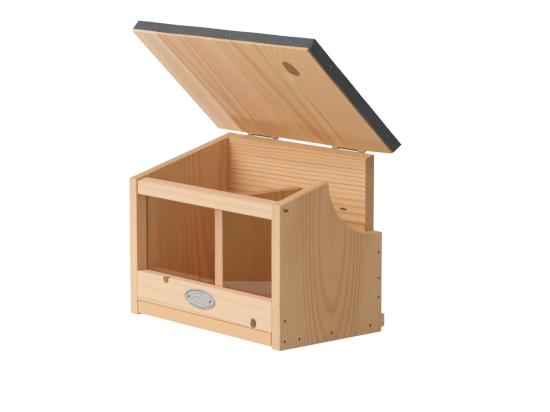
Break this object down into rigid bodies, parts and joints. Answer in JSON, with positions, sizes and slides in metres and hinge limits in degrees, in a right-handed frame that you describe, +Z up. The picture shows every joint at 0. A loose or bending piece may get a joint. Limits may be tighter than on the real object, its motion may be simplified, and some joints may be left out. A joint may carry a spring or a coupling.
{
  "type": "squirrel feeder box",
  "caption": "Wooden feeding box for squirrels with a sloping metal-covered lid hinged behind, a clear front window, a divider and a quarter-round notch in one side.",
  "frame": {"origin": "on the surface the box stands on, under the middle of the box and its rear battens", "axes": "+X to the right seen from the front, +Y from the window to the back board, +Z up"},
  "size_m": [0.2896, 0.157, 0.3185],
  "materials": {
    "pine_boards": "planed and unvarnished",
    "pine_floor": "planed and unvarnished",
    "pine_lid": "planed and unvarnished",
    "grey_sheet_metal": "matt dark grey",
    "clear_acrylic": "clear and polished",
    "oval_plate_metal": "pressed and satin",
    "nail_steel": "dull",
    "tack_steel": "dull",
    "zinc_plated_steel": "zinc plated"
  },
  "bodies": {
    "box": {"side_panel_left": "pine_boards", "side_panel_right": "pine_boards", "back_board": "pine_boards", "front_apron": "pine_boards", "front_rail": "pine_boards", "divider_board": "pine_boards", "rear_batten_lower": "pine_boards", "rear_batten_upper": "pine_boards", "floor_board": "pine_floor", "window_pane": "clear_acrylic", "panel_nails_left": "nail_steel", "panel_nails_right": "nail_steel", "divider_nails": "nail_steel", "batten_nails": "nail_steel", "batten_staples": "nail_steel", "badge_plate": "oval_plate_metal", "badge_pins": "oval_plate_metal", "hinge_left_box_leaf": "zinc_plated_steel", "hinge_right_box_leaf": "zinc_plated_steel", "hinge_left_pin": "zinc_plated_steel", "hinge_right_pin": "zinc_plated_steel", "hinge_screws_box": "zinc_plated_steel"},
    "lid": {"lid_board_left": "pine_lid", "lid_board_middle": "pine_lid", "lid_board_right": "pine_lid", "roof_sheet": "grey_sheet_metal", "roof_tacks_front": "tack_steel", "roof_tacks_left": "tack_steel", "roof_tacks_right": "tack_steel", "hinge_left_lid_leaf": "zinc_plated_steel", "hinge_right_lid_leaf": "zinc_plated_steel", "hinge_screws_lid": "zinc_plated_steel"}
  },
  "joints": [
    {"name": "lid_hinge", "type": "hinge", "parent": "box", "child": "lid", "pos_m": [0, 0.06542, 0.18936], "axis": [-1, 0, 0], "range_deg": [-59, 24]}
  ]
}
